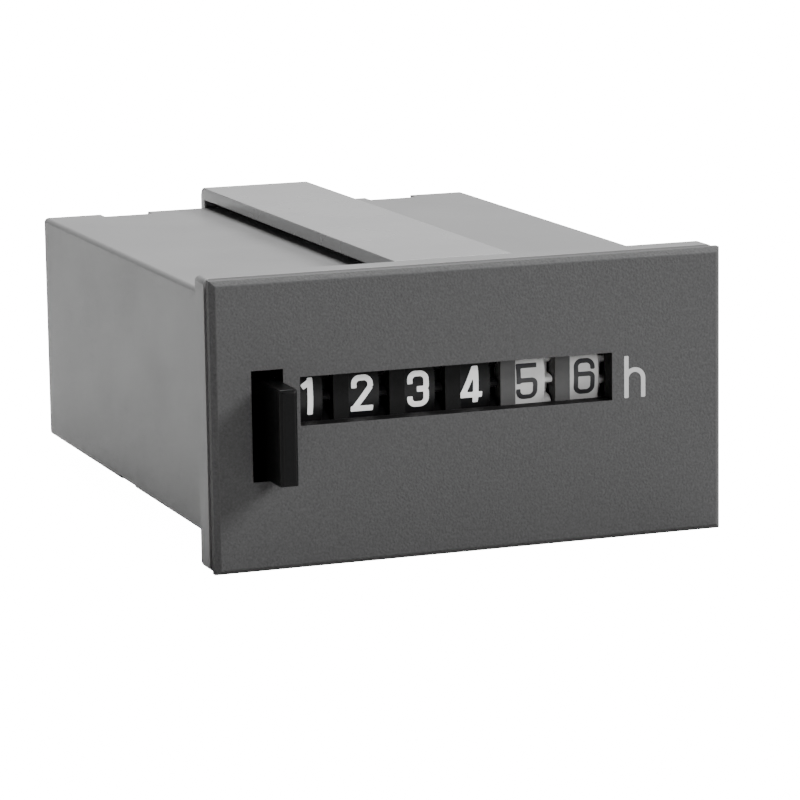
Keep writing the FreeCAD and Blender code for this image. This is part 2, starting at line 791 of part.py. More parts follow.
def make_stator_posts():
    posts = []
    for place in stator_post_places():
        spacer = rod(bridge_x + plate_thickness, stator_x, place, pillar_radius)
        stem = rod(bridge_x, stator_x + stator_thickness, place, screw_radius)
        head = rod(stator_x + stator_thickness, stator_x + stator_thickness + 0.5, place, 1.0)
        posts.append(fuse([spacer, stem, head]))
    return Part.makeCompound(posts)


def core_span():
    x0 = stator_x + stator_thickness
    return x0, x0 + stator_thickness


def make_coil_core():
    x0, x1 = core_span()
    half = core_half()
    return box(x0, x1, coil_place - core_width / 2, coil_place + core_width / 2, -half, half)


def coil_axis_rod(z0, z1, radius):
    """A cylinder along Z around the coil core."""
    middle = sum(core_span()) / 2
    return Part.makeCylinder(radius, z1 - z0, FreeCAD.Vector(middle, coil_place, z0))


def bobbin_half():
    return core_half() - 2.2 - fit_gap


def make_coil_bobbin():
    half = bobbin_half()
    tube = coil_axis_rod(-half, half, core_width / 2 + 0.55)
    cheeks = [coil_axis_rod(-half, -half + 0.5, coil_radius), coil_axis_rod(half - 0.5, half, coil_radius)]
    x0, x1 = core_span()
    hole = box(x0, x1, coil_place - core_width / 2, coil_place + core_width / 2, -half, half)
    return cut(fuse([tube] + cheeks), [hole])


def make_coil_winding():
    half = bobbin_half() - 0.5
    return coil_axis_rod(-half, half, coil_radius - 0.25).cut(
        coil_axis_rod(-half, half, core_width / 2 + 0.55))


def make_coil_leads():
    """Two fine wires from the lower bobbin cheek to the underside of the circuit board."""
    leads = []
    spread = 1.5
    edge = (coil_radius ** 2 - spread ** 2) ** 0.5
    for place in (coil_place - spread, coil_place + spread):
        start = FreeCAD.Vector(bridge_x - 1.0, place, board_top - board_thickness)
        middle = FreeCAD.Vector(bridge_x - 0.4, place, -bobbin_half() + 0.25)
        end = FreeCAD.Vector(sum(core_span()) / 2 - edge, place, -bobbin_half() + 0.25)
        for a, b in ((start, middle), (middle, end)):
            leads.append(Part.makeCylinder(0.15, (b - a).Length, a, b - a))
        leads.append(Part.makeSphere(0.15, middle))
    half = len(leads) // 2
    return Part.makeCompound([fuse(leads[:half]), fuse(leads[half:])])


def make_circuit_board():
    return box(left_plate_end, bridge_x, board_start, board_end, board_top - board_thickness, board_top)


def make_quartz_crystal():
    return rod(*crystal_span, (crystal_place, board_top + crystal_radius), crystal_radius)


def make_driver_chip():
    x, y = chip_place
    width, length, height = chip_size
    foot = board_top + chip_stand
    body = box(x - width / 2, x + width / 2, y - length / 2, y + length / 2, foot, foot + height)
    pins = []
    for k in range(pins_per_side):
        middle = y + pin_pitch * (k - (pins_per_side - 1) / 2)
        for x0, x1 in ((x - width / 2 - pin_reach, x - width / 2), (x + width / 2, x + width / 2 + pin_reach)):
            pins.append(box(x0, x1, middle - pin_width / 2, middle + pin_width / 2,
                            board_top, board_top + pin_height))
    return fuse([body] + pins)


def make_capacitor():
    x, y = capacitor_place
    return Part.makeCylinder(capacitor_radius, capacitor_height, FreeCAD.Vector(x, y, board_top))


# ---- write every piece -------------------------------------------------------------------------------------------
save("housing", make_housing())
save("front_cover", make_front_cover())
save("rear_cover", make_rear_cover())
save("mounting_clip", make_mounting_clip())
save("terminal_left", make_terminal(terminal_places[0]))
save("terminal_right", make_terminal(terminal_places[1]))

plate_arbors = [running(axis, arbor_radius) for axis in train_axes()]
wheel_seat = (wheel_axis, wheel_shaft_radius)
comb_bearing = running(comb_axis, comb_shaft_radius)
left_plate = make_frame_plate(left_plate_x, [
    wheel_seat, comb_bearing, (output_axis, arbor_radius), (lever_pivot, lever_pin_radius)])
save("frame_plate_left", cut(left_plate, bar_slot(left_plate_x, left_plate_end)))
save("frame_plate_right", make_frame_plate(right_plate_x, plate_arbors + [wheel_seat, comb_bearing]))
save("train_bridge", make_train_bridge())
save("frame_pillars", make_frame_pillars())
save("frame_screws", make_frame_screws())

save("wheel_shaft", rod(left_plate_x, right_plate_end, wheel_axis, wheel_shaft_radius))
for index in range(wheel_count):
    save("number_wheel_%d" % (index + 1), make_number_wheel(index))
for index in range(wheel_count - 1):
    save("transfer_pinion_%d" % (index + 1), make_transfer_pinion(index))
save("pinion_shaft", rod(carrier_arms()[0][0], carrier_arms()[1][1], pinion_axis, pinion_shaft_radius))
save("pinion_carrier", make_pinion_carrier())
save("carrier_stud", make_carrier_stud())

save("reset_comb", make_reset_comb())
save("comb_shaft", make_comb_shaft())
save("comb_crank", make_comb_crank())
save("reset_lever", make_reset_lever())
save("lever_pivot_pin", make_lever_pin())
save("lever_spring", make_lever_spring())

save("output_gear", make_output_gear())
for stage, name in enumerate(("output", "slow", "fast", "rotor")):
    save(name + "_arbor", make_arbor(stage))
for stage, name in enumerate(("output_train_gear", "slow_train_gear", "fast_train_gear")):
    save(name, make_train_gear(stage))

save("rotor_magnet", make_rotor_magnet())
save("stator", make_stator())
save("stator_posts", make_stator_posts())
save("coil_core", make_coil_core())
save("coil_bobbin", make_coil_bobbin())
save("coil_winding", make_coil_winding())
save("coil_leads", make_coil_leads())
save("circuit_board", make_circuit_board())
save("quartz_crystal", make_quartz_crystal())
save("driver_chip", make_driver_chip())
save("capacitor", make_capacitor())
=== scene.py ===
from math import cos, pi, radians, sin
import bmesh
import bpy
import numpy as np
from mathutils import Matrix, Vector


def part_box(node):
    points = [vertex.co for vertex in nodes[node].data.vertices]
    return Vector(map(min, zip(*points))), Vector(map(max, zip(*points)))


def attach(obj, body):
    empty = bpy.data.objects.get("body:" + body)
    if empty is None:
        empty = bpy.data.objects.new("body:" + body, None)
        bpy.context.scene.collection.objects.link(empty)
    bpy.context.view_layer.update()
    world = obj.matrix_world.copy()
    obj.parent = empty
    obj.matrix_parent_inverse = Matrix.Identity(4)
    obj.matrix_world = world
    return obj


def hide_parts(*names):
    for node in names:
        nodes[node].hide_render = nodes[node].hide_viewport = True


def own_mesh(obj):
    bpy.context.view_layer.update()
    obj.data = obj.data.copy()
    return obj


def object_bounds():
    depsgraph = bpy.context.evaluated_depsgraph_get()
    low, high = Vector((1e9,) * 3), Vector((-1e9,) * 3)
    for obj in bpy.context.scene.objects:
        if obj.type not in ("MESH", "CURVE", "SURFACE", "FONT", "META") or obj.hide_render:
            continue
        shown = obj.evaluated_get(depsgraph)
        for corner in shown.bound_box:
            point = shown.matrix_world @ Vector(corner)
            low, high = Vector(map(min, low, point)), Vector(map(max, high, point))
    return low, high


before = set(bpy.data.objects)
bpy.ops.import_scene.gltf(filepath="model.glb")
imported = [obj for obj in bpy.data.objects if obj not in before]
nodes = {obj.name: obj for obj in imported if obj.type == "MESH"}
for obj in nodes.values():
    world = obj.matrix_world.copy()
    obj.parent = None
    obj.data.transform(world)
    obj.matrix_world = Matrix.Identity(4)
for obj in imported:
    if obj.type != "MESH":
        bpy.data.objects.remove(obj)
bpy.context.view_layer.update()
mm = 0.001

# ---- housing ------------------------------------------------------------------------------------
# The open-backed shell with its bezel flange, injection moulded in grey plastic.
# Its surface is fine moulded satin, with a soft lighter line on its edges that is partly wear and partly a
# painted highlight.
housing_grey = (0.15, 0.15, 0.151, 1)
housing_edge = 0.12 * mm


def group(name, inputs, outputs):
    """A shader node group with its input and output nodes."""
    tree = bpy.data.node_groups.new(name, "ShaderNodeTree")
    for label, kind, value in inputs:
        made = tree.interface.new_socket(name=label, in_out="INPUT", socket_type=kind)
        made.default_value = value
    for label, kind in outputs:
        tree.interface.new_socket(name=label, in_out="OUTPUT", socket_type=kind)
    return tree, tree.nodes.new("NodeGroupInput"), tree.nodes.new("NodeGroupOutput")


def add(tree, kind, links=(), **values):
    """A node with its properties set, and links as (input, source socket or value)."""
    node = tree.nodes.new(kind)
    for key, value in values.items():
        setattr(node, key, value)
    for socket, source in links:
        if isinstance(source, bpy.types.NodeSocket):
            tree.links.new(source, node.inputs[socket])
        else:
            node.inputs[socket].default_value = source
    return node


def blend_colour(tree, factor, first, second, mode="MIX"):
    node = add(tree, "ShaderNodeMix", data_type="RGBA", blend_type=mode)
    for index, source in ((0, factor), (6, first), (7, second)):
        if isinstance(source, bpy.types.NodeSocket):
            tree.links.new(source, node.inputs[index])
        else:
            node.inputs[index].default_value = source
    return node.outputs[2]


def moulded_skin_group():
    """Moulded plastic: cloudy tone, fine spark grain, and edges blended in patches toward a second colour
    that is partly rubbed wear and partly painted highlight.
    """
    tree, given, out = group(
        "moulded skin",
        [("Colour", "NodeSocketColor", (0.2, 0.2, 0.2, 1)), ("Wear and highlight", "NodeSocketColor", (0.4, 0.4, 0.4, 1)),
         ("Mottle", "NodeSocketFloat", 0.1), ("Grain size", "NodeSocketFloat", 4000.0),
         ("Speckle", "NodeSocketFloat", 0.1), ("Gloss", "NodeSocketFloat", 0.5)],
        [("Colour", "NodeSocketColor"), ("Roughness", "NodeSocketFloat"), ("Height", "NodeSocketFloat")],
    )
    place = add(tree, "ShaderNodeTexCoord").outputs["Object"]
    clouds = add(tree, "ShaderNodeTexNoise", [("Vector", place), ("Scale", 90.0), ("Detail", 3.0)])
    grain = add(tree, "ShaderNodeTexNoise",
                [("Vector", place), ("Scale", given.outputs["Grain size"]), ("Detail", 2.0)])
    pits = add(tree, "ShaderNodeTexVoronoi", [("Vector", place), ("Scale", given.outputs["Grain size"])])
    centred = add(tree, "ShaderNodeMath", [(0, clouds.outputs["Fac"]), (1, 0.5)], operation="SUBTRACT")
    tone = add(tree, "ShaderNodeMath", [(0, centred.outputs[0]), (1, given.outputs["Mottle"]), (2, 1.0)],
               operation="MULTIPLY_ADD")
    fine = add(tree, "ShaderNodeMath", [(0, grain.outputs["Fac"]), (1, 0.5)], operation="SUBTRACT")
    dots = add(tree, "ShaderNodeMath", [(0, fine.outputs[0]), (1, given.outputs["Speckle"]),
                                        (2, tone.outputs[0])], operation="MULTIPLY_ADD")
    shade = add(tree, "ShaderNodeVectorMath", [(0, given.outputs["Colour"]), (3, dots.outputs[0])],
                operation="SCALE")
    # Bevelled edges are painted toward the second colour in cloudy patches: partly rubbed wear, partly a
    # painted highlight.
    edge = add(tree, "ShaderNodeAttribute", attribute_name="edge")
    edge_wear_and_highlight_mask = add(tree, "ShaderNodeMath", [(0, edge.outputs["Fac"]), (1, clouds.outputs["Fac"])],
               operation="MULTIPLY")
    colour = blend_colour(tree, edge_wear_and_highlight_mask.outputs[0], shade.outputs[0], given.outputs["Wear and highlight"])
    rough = add(tree, "ShaderNodeMath", [(0, centred.outputs[0]), (1, 0.18), (2, given.outputs["Gloss"])],
                operation="MULTIPLY_ADD")
    height = add(tree, "ShaderNodeMath", [(0, pits.outputs["Distance"]), (1, 0.6), (2, grain.outputs["Fac"])],
                 operation="MULTIPLY_ADD")
    tree.links.new(colour, out.inputs["Colour"])
    tree.links.new(rough.outputs[0], out.inputs["Roughness"])
    tree.links.new(height.outputs[0], out.inputs["Height"])
    return tree


moulded_skin = moulded_skin_group()


def finish_of(name, tree_group, bump_depth, settings, shader=()):
    """A material: one finish group feeds colour, roughness and bump of a Principled shader."""
    material = bpy.data.materials.new(name)
    material.use_nodes = True
    tree = material.node_tree
    surface = tree.nodes["Principled BSDF"]
    skin = add(tree, "ShaderNodeGroup", node_tree=tree_group)
    for label, value in settings:
        skin.inputs[label].default_value = value
    bump = add(tree, "ShaderNodeBump", [("Height", skin.outputs["Height"]), ("Distance", bump_depth * mm),
                                        ("Strength", 1.0)])
    tree.links.new(skin.outputs["Colour"], surface.inputs["Base Color"])
    tree.links.new(skin.outputs["Roughness"], surface.inputs["Roughness"])
    tree.links.new(bump.outputs["Normal"], surface.inputs["Normal"])
    for label, value in shader:
        surface.inputs[label].default_value = value
    return material


def plastic(name, colour, wear_and_highlight, mottle=0.1, grain=4000.0, speckle=0.1, gloss=0.5, depth=0.004, shine=0.5):
    return finish_of(name, moulded_skin, depth,
                     [("Colour", colour), ("Wear and highlight", wear_and_highlight), ("Mottle", mottle), ("Grain size", grain),
                      ("Speckle", speckle), ("Gloss", gloss)],
                     [("Specular IOR Level", shine)])


def moulding(name, node, edge, segments=2, sharp=35, fine_edge=0, fine=lambda place: False):
    """A copy of a node's form with its sharp edges rounded, and those roundings marked as edge.

    Edges whose middle passes the fine test get the smaller fine_edge."""
    mesh = nodes[node].data.copy()
    mesh.name = name
    mesh.materials.clear()
    work = bmesh.new()
    work.from_mesh(mesh)
    bmesh.ops.remove_doubles(work, verts=work.verts, dist=0.0005 * mm)
    bmesh.ops.dissolve_limit(work, angle_limit=radians(1), verts=work.verts, edges=work.edges)
    mark = work.faces.layers.float.new("edge")
    for wanted, size in ((False, edge), (True, fine_edge)):
        corners = [e for e in work.edges
                   if size and len(e.link_faces) == 2 and e.calc_face_angle(0) > radians(sharp)
                   and fine((e.verts[0].co + e.verts[1].co) / 2) == wanted]
        made = bmesh.ops.bevel(work, geom=corners, offset=size, offset_type="OFFSET", segments=segments,
                               profile=0.5, affect="EDGES", clamp_overlap=True)
        for face in made["faces"]:
            face[mark] = 1.0
    bmesh.ops.triangulate(work, faces=[f for f in work.faces if len(f.verts) > 4])
    for face in work.faces:
        face.smooth = True
    for e in work.edges:
        e.smooth = len(e.link_faces) != 2 or e.calc_face_angle(0) < radians(sharp)
    work.to_mesh(mesh)
    work.free()
    return placed(name, mesh)


def placed(name, mesh):
    piece = bpy.data.objects.new(name, mesh)
    bpy.context.scene.collection.objects.link(piece)
    weights = piece.modifiers.new("even shading", "WEIGHTED_NORMAL")
    weights.keep_sharp = True
    return piece


def fitted(piece, material, body, slot, *replaced):
    """Gives a piece its material and body, and hides the nodes it stands for; the slot is not used."""
    piece.data.materials.append(material)
    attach(piece, body)
    if replaced:
        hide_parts(*replaced)
    return piece


grey_plastic = plastic("grey housing plastic", housing_grey, (0.21, 0.21, 0.21, 1), 0.08, 2600.0, 0.04, 0.38,
                       0.002)
housing = moulding("housing_shell", "housing", housing_edge)
fitted(housing, grey_plastic, "root", "grey_plastic", "housing")

# ---- front cover --------------------------------------------------------------------------------
# The dark face plate with the window and the reset slot, moulded with a spark-eroded texture.
# It snaps into the flange with lips behind, and bars behind the window stand between the wheels.
# The walls of the window and the reset slot and the bars behind the window are painted near black as painted
# shade; the bar fronts between the light wheels are painted grey as a painted reflection.
face_grey = (0.044, 0.044, 0.0444, 1)
cover_edge = 0.08 * mm
opening_edge = 0.025 * mm
window_left, window_right = -17.7 * mm, 14.7 * mm
window_low, window_high = -0.275 * mm, 4.475 * mm
slot_left, slot_right, slot_half = -22.6 * mm, -19.4 * mm, 5.4 * mm
gap_start, gap_pitch, gap_lean = -14.6 * mm, 5.78 * mm, 0.25
# The gaps next to the light wheels, whose bar fronts get a grey painted reflection of those wheels.
reflecting_gaps = (3, 4)
bar_depth = 1.8 * mm
face_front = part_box("front_cover")[0].y
near = 0.06 * mm
face_plastic = plastic("dark textured face plastic", face_grey, (0.050, 0.050, 0.0505, 1), 0.08, 4200.0,
                       0.75, 0.6,
                       0.035, 0.3)
# Near black painted shade for the walls of the window and the reset slot and for the bars between the black
# wheels.
painted_shade_black = plastic("painted shade black on opening walls and bars", (0.006, 0.006, 0.006, 1), (0.02, 0.02, 0.02, 1), 0.3, 2000.0,
                        0.2,
                        0.6, 0.004, 0.1)
# Grey painted reflection of the light wheels on the bar fronts between them.
painted_reflection_grey = plastic("painted reflection grey on bars between the light wheels", (0.05, 0.05, 0.05, 1), (0.06, 0.06, 0.06, 1), 0.3,
                   900.0, 0.3, 0.5, 0.004, 0.3)


def in_opening(place):
    """Whether a place is in the window or the reset slot, walls included."""
    in_window = (window_left - near < place.x < window_right + near
                 and window_low - near < place.z < window_high + near)
    in_slot = slot_left - near < place.x < slot_right + near and abs(place.z) < slot_half + near
    return in_window or in_slot


front_cover = moulding("front_cover_plate", "front_cover", cover_edge, fine_edge=opening_edge,
                       fine=in_opening)
fitted(front_cover, face_plastic, "root", "black_textured_plastic", "front_cover")
front_cover.data.materials.append(painted_shade_black)
front_cover.data.materials.append(painted_reflection_grey)
# Faces inside the window and the reset slot get the near black painted shade; the bar fronts between the
# light wheels get the grey painted reflection.
for face in front_cover.data.polygons:
    centre = face.center
    gap = round((centre.x - gap_start) / gap_pitch - gap_lean)
    if centre.y > face_front + near and in_opening(centre):
        painted_reflection_face = gap in reflecting_gaps and centre.y > face_front + bar_depth and abs(face.normal.z) < 0.5
        face.material_index = 2 if painted_reflection_face else 1

# ---- number wheels ------------------------------------------------------------------------------
# Six moulded wheels turn on one shaft: four black with white digits for the whole hours, and two
# light ones with dark digits for the decimals. The digits are foil stamped on each wheel's rim.
wheel_count = 6
digit_height = 3.6 * mm
digit_width = 2.24 * mm
foil_out = 0.02 * mm
foil_in = 0.03 * mm
print_step = 0.11 * mm
print_shift = (0.0, -0.14, -0.14, -0.38, -0.28, 0.05)
print_drop = (0.04 * mm, 0.12 * mm, 0.15 * mm, 0.15 * mm, 0.27 * mm, 0.22 * mm)


def bar(x0, y0, x1, y1):
    return ("bar", x0, y0, x1, y1)


def arc(x, y, radius, start, end):
    return ("arc", x, y, radius, start, end)


def digit_strokes(stroke):
    """Centre lines of the ten digits, in millimetres from the lower left corner of the digit's box."""
    width, height, half = digit_width / mm, digit_height / mm, stroke / 2
    left, right, low, top = half, width - half, half, height - half
    middle, waist, r = width / 2, height / 2, 0.62
    top_hook = [bar(left, top - 0.95, left, top - r), arc(left + r, top - r, r, 90, 180),
                bar(left + r, top, right - r, top), arc(right - r, top - r, r, 0, 90)]
    low_hook = [bar(left, low + 0.8, left, low + r), arc(left + r, low + r, r, 180, 270),
                bar(left + r, low, right - r, low), arc(right - r, low + r, r, 270, 360)]
    small, belly, shelf = 0.38, 0.60 * height, 0.57 * height
    six = [bar(left, low + r, left, top - r), arc(left + r, top - r, r, 90, 180),
           bar(left + r, top, right - r, top), arc(right - r, top - r, r, 0, 90),
           bar(right, top - r, right, top - 0.85), arc(left + r, low + r, r, 180, 270),
           bar(left + r, low, right - r, low), arc(right - r, low + r, r, 270, 360),
           bar(right, low + r, right, shelf - small), arc(right - small, shelf - small, small, 0, 90),
           bar(left, shelf, right - small, shelf)]
    nine = [turned_bar(s, width, height) for s in six]
    loops = [arc(left + small, waist + small, small, 180, 270),
             arc(right - small, waist + small, small, 270, 360),
             arc(left + small, waist - small, small, 90, 180),
             arc(right - small, waist - small, small, 0, 90),
             bar(left + small, waist, right - small, waist),
             bar(left, low + r, left, waist - small), bar(right, low + r, right, waist - small),
             bar(left, waist + small, left, top - r), bar(right, waist + small, right, top - r)]
    corners = [arc(left + r, low + r, r, 180, 270), arc(right - r, low + r, r, 270, 360),
               arc(left + r, top - r, r, 90, 180), arc(right - r, top - r, r, 0, 90),
               bar(left + r, low, right - r, low), bar(left + r, top, right - r, top)]
    stem = 1.45
    return {
        0: corners + [bar(left, low + r, left, top - r), bar(right, low + r, right, top - r)],
        1: [bar(stem, 0, stem, height), bar(stem - 0.82, height - 0.86, stem, height - 0.34)],
        2: top_hook + [bar(right, top - r, right, top - 0.9), bar(0, low, width, low),
                       bar(right, top - 0.9, left, low)],
        3: top_hook + low_hook + [
            bar(right, top - r, right, waist + small), arc(right - small, waist + small, small, 270, 360),
            arc(right - small, waist - small, small, 0, 90), bar(right, waist - small, right, low + r),
            bar(middle - 0.1, waist, right - small, waist)],
        4: [bar(1.6, 0, 1.6, height), bar(0, 0.78, width, 0.78), bar(1.5, height - 0.12, 0.22, 0.8)],
        5: low_hook + [bar(0, top, width - 0.1, top), bar(left, top, left, belly - 0.55),
                       bar(left, belly - half, right - small, belly - half),
                       arc(right - small, belly - half - small, small, 0, 90),
                       bar(right, low + r, right, belly - half - small)],
        6: six,
        7: [bar(0, top, width, top), bar(right, top, 0.8, 0)],
        8: corners + loops,
        9: nine,
    }


def turned_bar(stroke, width, height):
    """The same stroke turned half round in the digit's box."""
    if stroke[0] == "bar":
        return bar(width - stroke[1], height - stroke[2], width - stroke[3], height - stroke[4])
    return arc(width - stroke[1], height - stroke[2], stroke[3], stroke[4] - 180, stroke[5] - 180)


def stroke_distance(x, y, stroke, half):
    """Signed distance from a grid of points to one stroke with flat ends."""
    slip = 0.03
    if stroke[0] == "bar":
        a, b = np.array(stroke[1:3]), np.array(stroke[3:5])
        length = np.linalg.norm(b - a)
        way = (b - a) / length
        along = (x - a[0]) * way[0] + (y - a[1]) * way[1] - length / 2
        across = -(x - a[0]) * way[1] + (y - a[1]) * way[0]
        return np.maximum(np.abs(along) - length / 2 - slip, np.abs(across) - half)
    start, end = (radians(v) for v in stroke[4:6])
    dx, dy = x - stroke[1], y - stroke[2]
    ring = np.abs(np.hypot(dx, dy) - stroke[3]) - half
    before = -(cos(start) * dy - sin(start) * dx) - slip
    beyond = -(dx * sin(end) - dy * cos(end)) - slip
    return np.maximum(ring, np.maximum(before, beyond))


def stamped_shape(strokes, stroke, width, height, wrap):
    """Closed thin foil in the shape of the strokes; wrap turns (x, y, layer) into a place."""
    step = print_step / mm
    columns, rows = int(width / step) + 4, int(height / step) + 4
    gx, gy = np.meshgrid((np.arange(columns) - 1.5) * step, (np.arange(rows) - 1.5) * step, indexing="ij")
    field = np.min([stroke_distance(gx, gy, s, stroke / 2) for s in strokes], axis=0) + 1e-6
    points, faces, found = [], [], {}

    def corner(key, x, y):
        if key not in found:
            found[key] = len(points)
            points.append((x, y))
        return found[key]

    ring = ((0, 0), (1, 0), (1, 1), (0, 1))
    for i in range(columns - 1):
        for j in range(rows - 1):
            face = []
            for k in range(4):
                a = (i + ring[k][0], j + ring[k][1])
                b = (i + ring[(k + 1) % 4][0], j + ring[(k + 1) % 4][1])
                da, db = field[a], field[b]
                if da < 0:
                    face.append(corner(a, gx[a], gy[a]))
                if (da < 0) != (db < 0):
                    t = da / (da - db)
                    face.append(corner((min(a, b), max(a, b)), gx[a] + (gx[b] - gx[a]) * t,
                                       gy[a] + (gy[b] - gy[a]) * t))
            if len(face) > 2:
                faces.append(face)
    count = len(points)
    sides, seen = [], {}
    for face in faces:
        for k, a in enumerate(face):
            seen[(a, face[(k + 1) % len(face)])] = True
    for a, b in seen:
        if (b, a) not in seen:
            sides.append([b, a, a + count, b + count])
    placed_points = [wrap(x, y, 1) for x, y in points] + [wrap(x, y, 0) for x, y in points]
    back = [[v + count for v in reversed(face)] for face in faces]
    return placed_points, faces + back + sides


def joined(name, shapes):
    """One mesh from several lists of points and faces."""
    points, faces = [], []
    for more_points, more_faces in shapes:
        start = len(points)
        points += more_points
        faces += [[v + start for v in face] for face in more_faces]
    mesh = bpy.data.meshes.new(name)
    mesh.from_pydata(points, [], faces)
    mesh.validate()
    return mesh


black_wheel = plastic("black wheel plastic", (0.0055, 0.0055, 0.0057, 1), (0.01, 0.01, 0.01, 1), 0.3,
                      1500.0, 0.1,
                      0.4, 0.002, 0.3)
light_wheel = plastic("light wheel plastic", (0.46, 0.46, 0.455, 1), (0.5, 0.5, 0.5, 1), 0.1, 1500.0, 0.04,
                      0.4, 0.002)
white_foil = plastic("white stamping foil", (0.92, 0.92, 0.91, 1), (0.9, 0.9, 0.9, 1), 0.04, 2500.0, 0.03,
                     0.45, 0.002)
dark_foil = plastic("dark stamping foil", (0.022, 0.022, 0.024, 1), (0.05, 0.05, 0.05, 1), 0.2, 2500.0, 0.1,
                    0.4, 0.002)

shaft_low, shaft_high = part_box("wheel_shaft")
axis_y = (shaft_low.y + shaft_high.y) / 2
axis_z = (shaft_low.z + shaft_high.z) / 2
band = 3.2 * mm
lock_disc = 0.9 * mm
wheel_edge = 0.05 * mm
black_wheels = 4
white_stroke, dark_stroke = 0.56, 0.47
digit_turn = radians(36)
for number in range(1, wheel_count + 1):
    node = "number_wheel_%d" % number
    low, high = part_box(node)
    radius = high.z - axis_z
    band_centre = low.x + lock_disc + band / 2
    light = number > black_wheels
    wheel = moulding("digit_wheel_%d" % number, node, wheel_edge, 1, 50)
    fitted(wheel, light_wheel if light else black_wheel, "wheel_%d" % number,
           "white_wheel_plastic" if light else "black_wheel_plastic", node)
    stroke = dark_stroke if light else white_stroke
    strokes = digit_strokes(stroke)
    shapes = []
    for digit in range(10):
        turn = digit_turn * (digit - number)

        def on_rim(x, y, layer, turn=turn):
            r = radius + foil_out if layer else radius - foil_in
            angle = turn + (y * mm - digit_height / 2 - print_drop[number - 1]) / radius
            return (band_centre + print_shift[number - 1] * mm + x * mm - digit_width / 2,
                    axis_y - r * cos(angle), axis_z + r * sin(angle))

        shapes.append(stamped_shape(strokes[digit], stroke, digit_width / mm, digit_height / mm, on_rim))
    digits = placed("stamped_digits_%d" % number, joined("stamped_digits_%d" % number, shapes))
    fitted(digits, dark_foil if light else white_foil, "wheel_%d" % number,
           "white_wheel_plastic" if light else "black_wheel_plastic")

# ---- unit letter --------------------------------------------------------------------------------
# A pad-printed h for hours stands right of the window, in pale ink on the textured face.
unit_width = 2.25
unit_height = 4.15
unit_stroke = 0.46
arch_top = 3.0
unit_x = 16.0 * mm
unit_z = -0.15 * mm
ink_out = 0.012 * mm
ink_root = 0.05 * mm
pale_ink = plastic("pale printing ink", (0.36, 0.36, 0.36, 1), (0.5, 0.5, 0.5, 1), 0.1, 3000.0, 0.12, 0.55,
                   0.01)
face_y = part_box("front_cover")[0].y
half = unit_stroke / 2
arch = unit_width / 2 - half
unit_strokes = [bar(half, 0, half, unit_height),
                arc(unit_width / 2, arch_top - half - arch, arch, 0, 180),
                bar(unit_width - half, 0, unit_width - half, arch_top - half - arch)]


def on_face(x, y, layer):
    return (unit_x + x * mm, face_y - ink_out if layer else face_y + ink_root, unit_z + y * mm)


unit_mesh = joined("unit_letter",
                   [stamped_shape(unit_strokes, unit_stroke, unit_width, unit_height, on_face)])
unit = placed("unit_letter", unit_mesh)
fitted(unit, pale_ink, "root", "black_textured_plastic")

# ---- reset lever --------------------------------------------------------------------------------
# A black bar stands out of the slot left of the window; it tips on a pin at its foot.
# It is moulded in smooth black plastic with small chamfers around its front.
lever_black = plastic("smooth black lever plastic", (0.0022, 0.0022, 0.0023, 1), (0.006, 0.006, 0.006, 1),
                      0.3,
                      1200.0, 0.05, 0.34, 0.002, 0.12)
lever_edge = 0.06 * mm
lever = moulding("reset_lever_bar", "reset_lever", lever_edge)
fitted(lever, lever_black, "lever", "lever_plastic", "reset_lever")

# ---- mounting clip ------------------------------------------------------------------------------
# The U-shaped clip slides forward over and under the housing and presses the panel to the bezel.
# It is moulded in a lighter grey than the housing, and a little smoother.
clip_plastic = plastic("grey clip plastic", (0.23, 0.23, 0.231, 1), (0.26, 0.26, 0.26, 1), 0.05, 2200.0, 0.04,
                       0.26, 0.001)
clip_edge = 0.16 * mm
clip = moulding("mounting_clip_bow", "mounting_clip", clip_edge)
fitted(clip, clip_plastic, "clip", "clip_plastic", "mounting_clip")

# ---- rear cover and terminals ---------------------------------------------------------------------
# The snap-in back wall has four tongues and two slots, where tinned blades stand out for push-on leads.
rear_edge = 0.12 * mm
rear_cover = moulding("rear_cover_plate", "rear_cover", rear_edge)
fitted(rear_cover, grey_plastic, "root", "grey_plastic", "rear_cover")


def metal_skin_group():
    """Metal: fine lines drawn along one axis and cloudy tarnish."""
    tree, given, out = group(
        "metal skin",
        [("Colour", "NodeSocketColor", (0.6, 0.6, 0.6, 1)),
         ("Tarnish", "NodeSocketColor", (0.4, 0.4, 0.4, 1)),
         ("Lines", "NodeSocketVector", (300.0, 6000.0, 6000.0)), ("Gloss", "NodeSocketFloat", 0.3)],
        [("Colour", "NodeSocketColor"), ("Roughness", "NodeSocketFloat"), ("Height", "NodeSocketFloat")],
    )
    place = add(tree, "ShaderNodeTexCoord").outputs["Object"]
    stretched = add(tree, "ShaderNodeVectorMath", [(0, place), (1, given.outputs["Lines"])],
                    operation="MULTIPLY")
    lines = add(tree, "ShaderNodeTexNoise",
                [("Vector", stretched.outputs[0]), ("Scale", 1.0), ("Detail", 3.0)])
    clouds = add(tree, "ShaderNodeTexNoise", [("Vector", place), ("Scale", 260.0), ("Detail", 4.0)])
    spots = add(tree, "ShaderNodeMapRange", [("Value", clouds.outputs["Fac"]), (1, 0.45), (2, 0.75)])
    colour = blend_colour(tree, spots.outputs[0], given.outputs["Colour"], given.outputs["Tarnish"])
    rough = add(tree, "ShaderNodeMath", [(0, lines.outputs["Fac"]), (1, 0.25), (2, given.outputs["Gloss"])],
                operation="MULTIPLY_ADD")
    tree.links.new(colour, out.inputs["Colour"])
    tree.links.new(rough.outputs[0], out.inputs["Roughness"])
    tree.links.new(lines.outputs["Fac"], out.inputs["Height"])
    return tree


metal_skin = metal_skin_group()


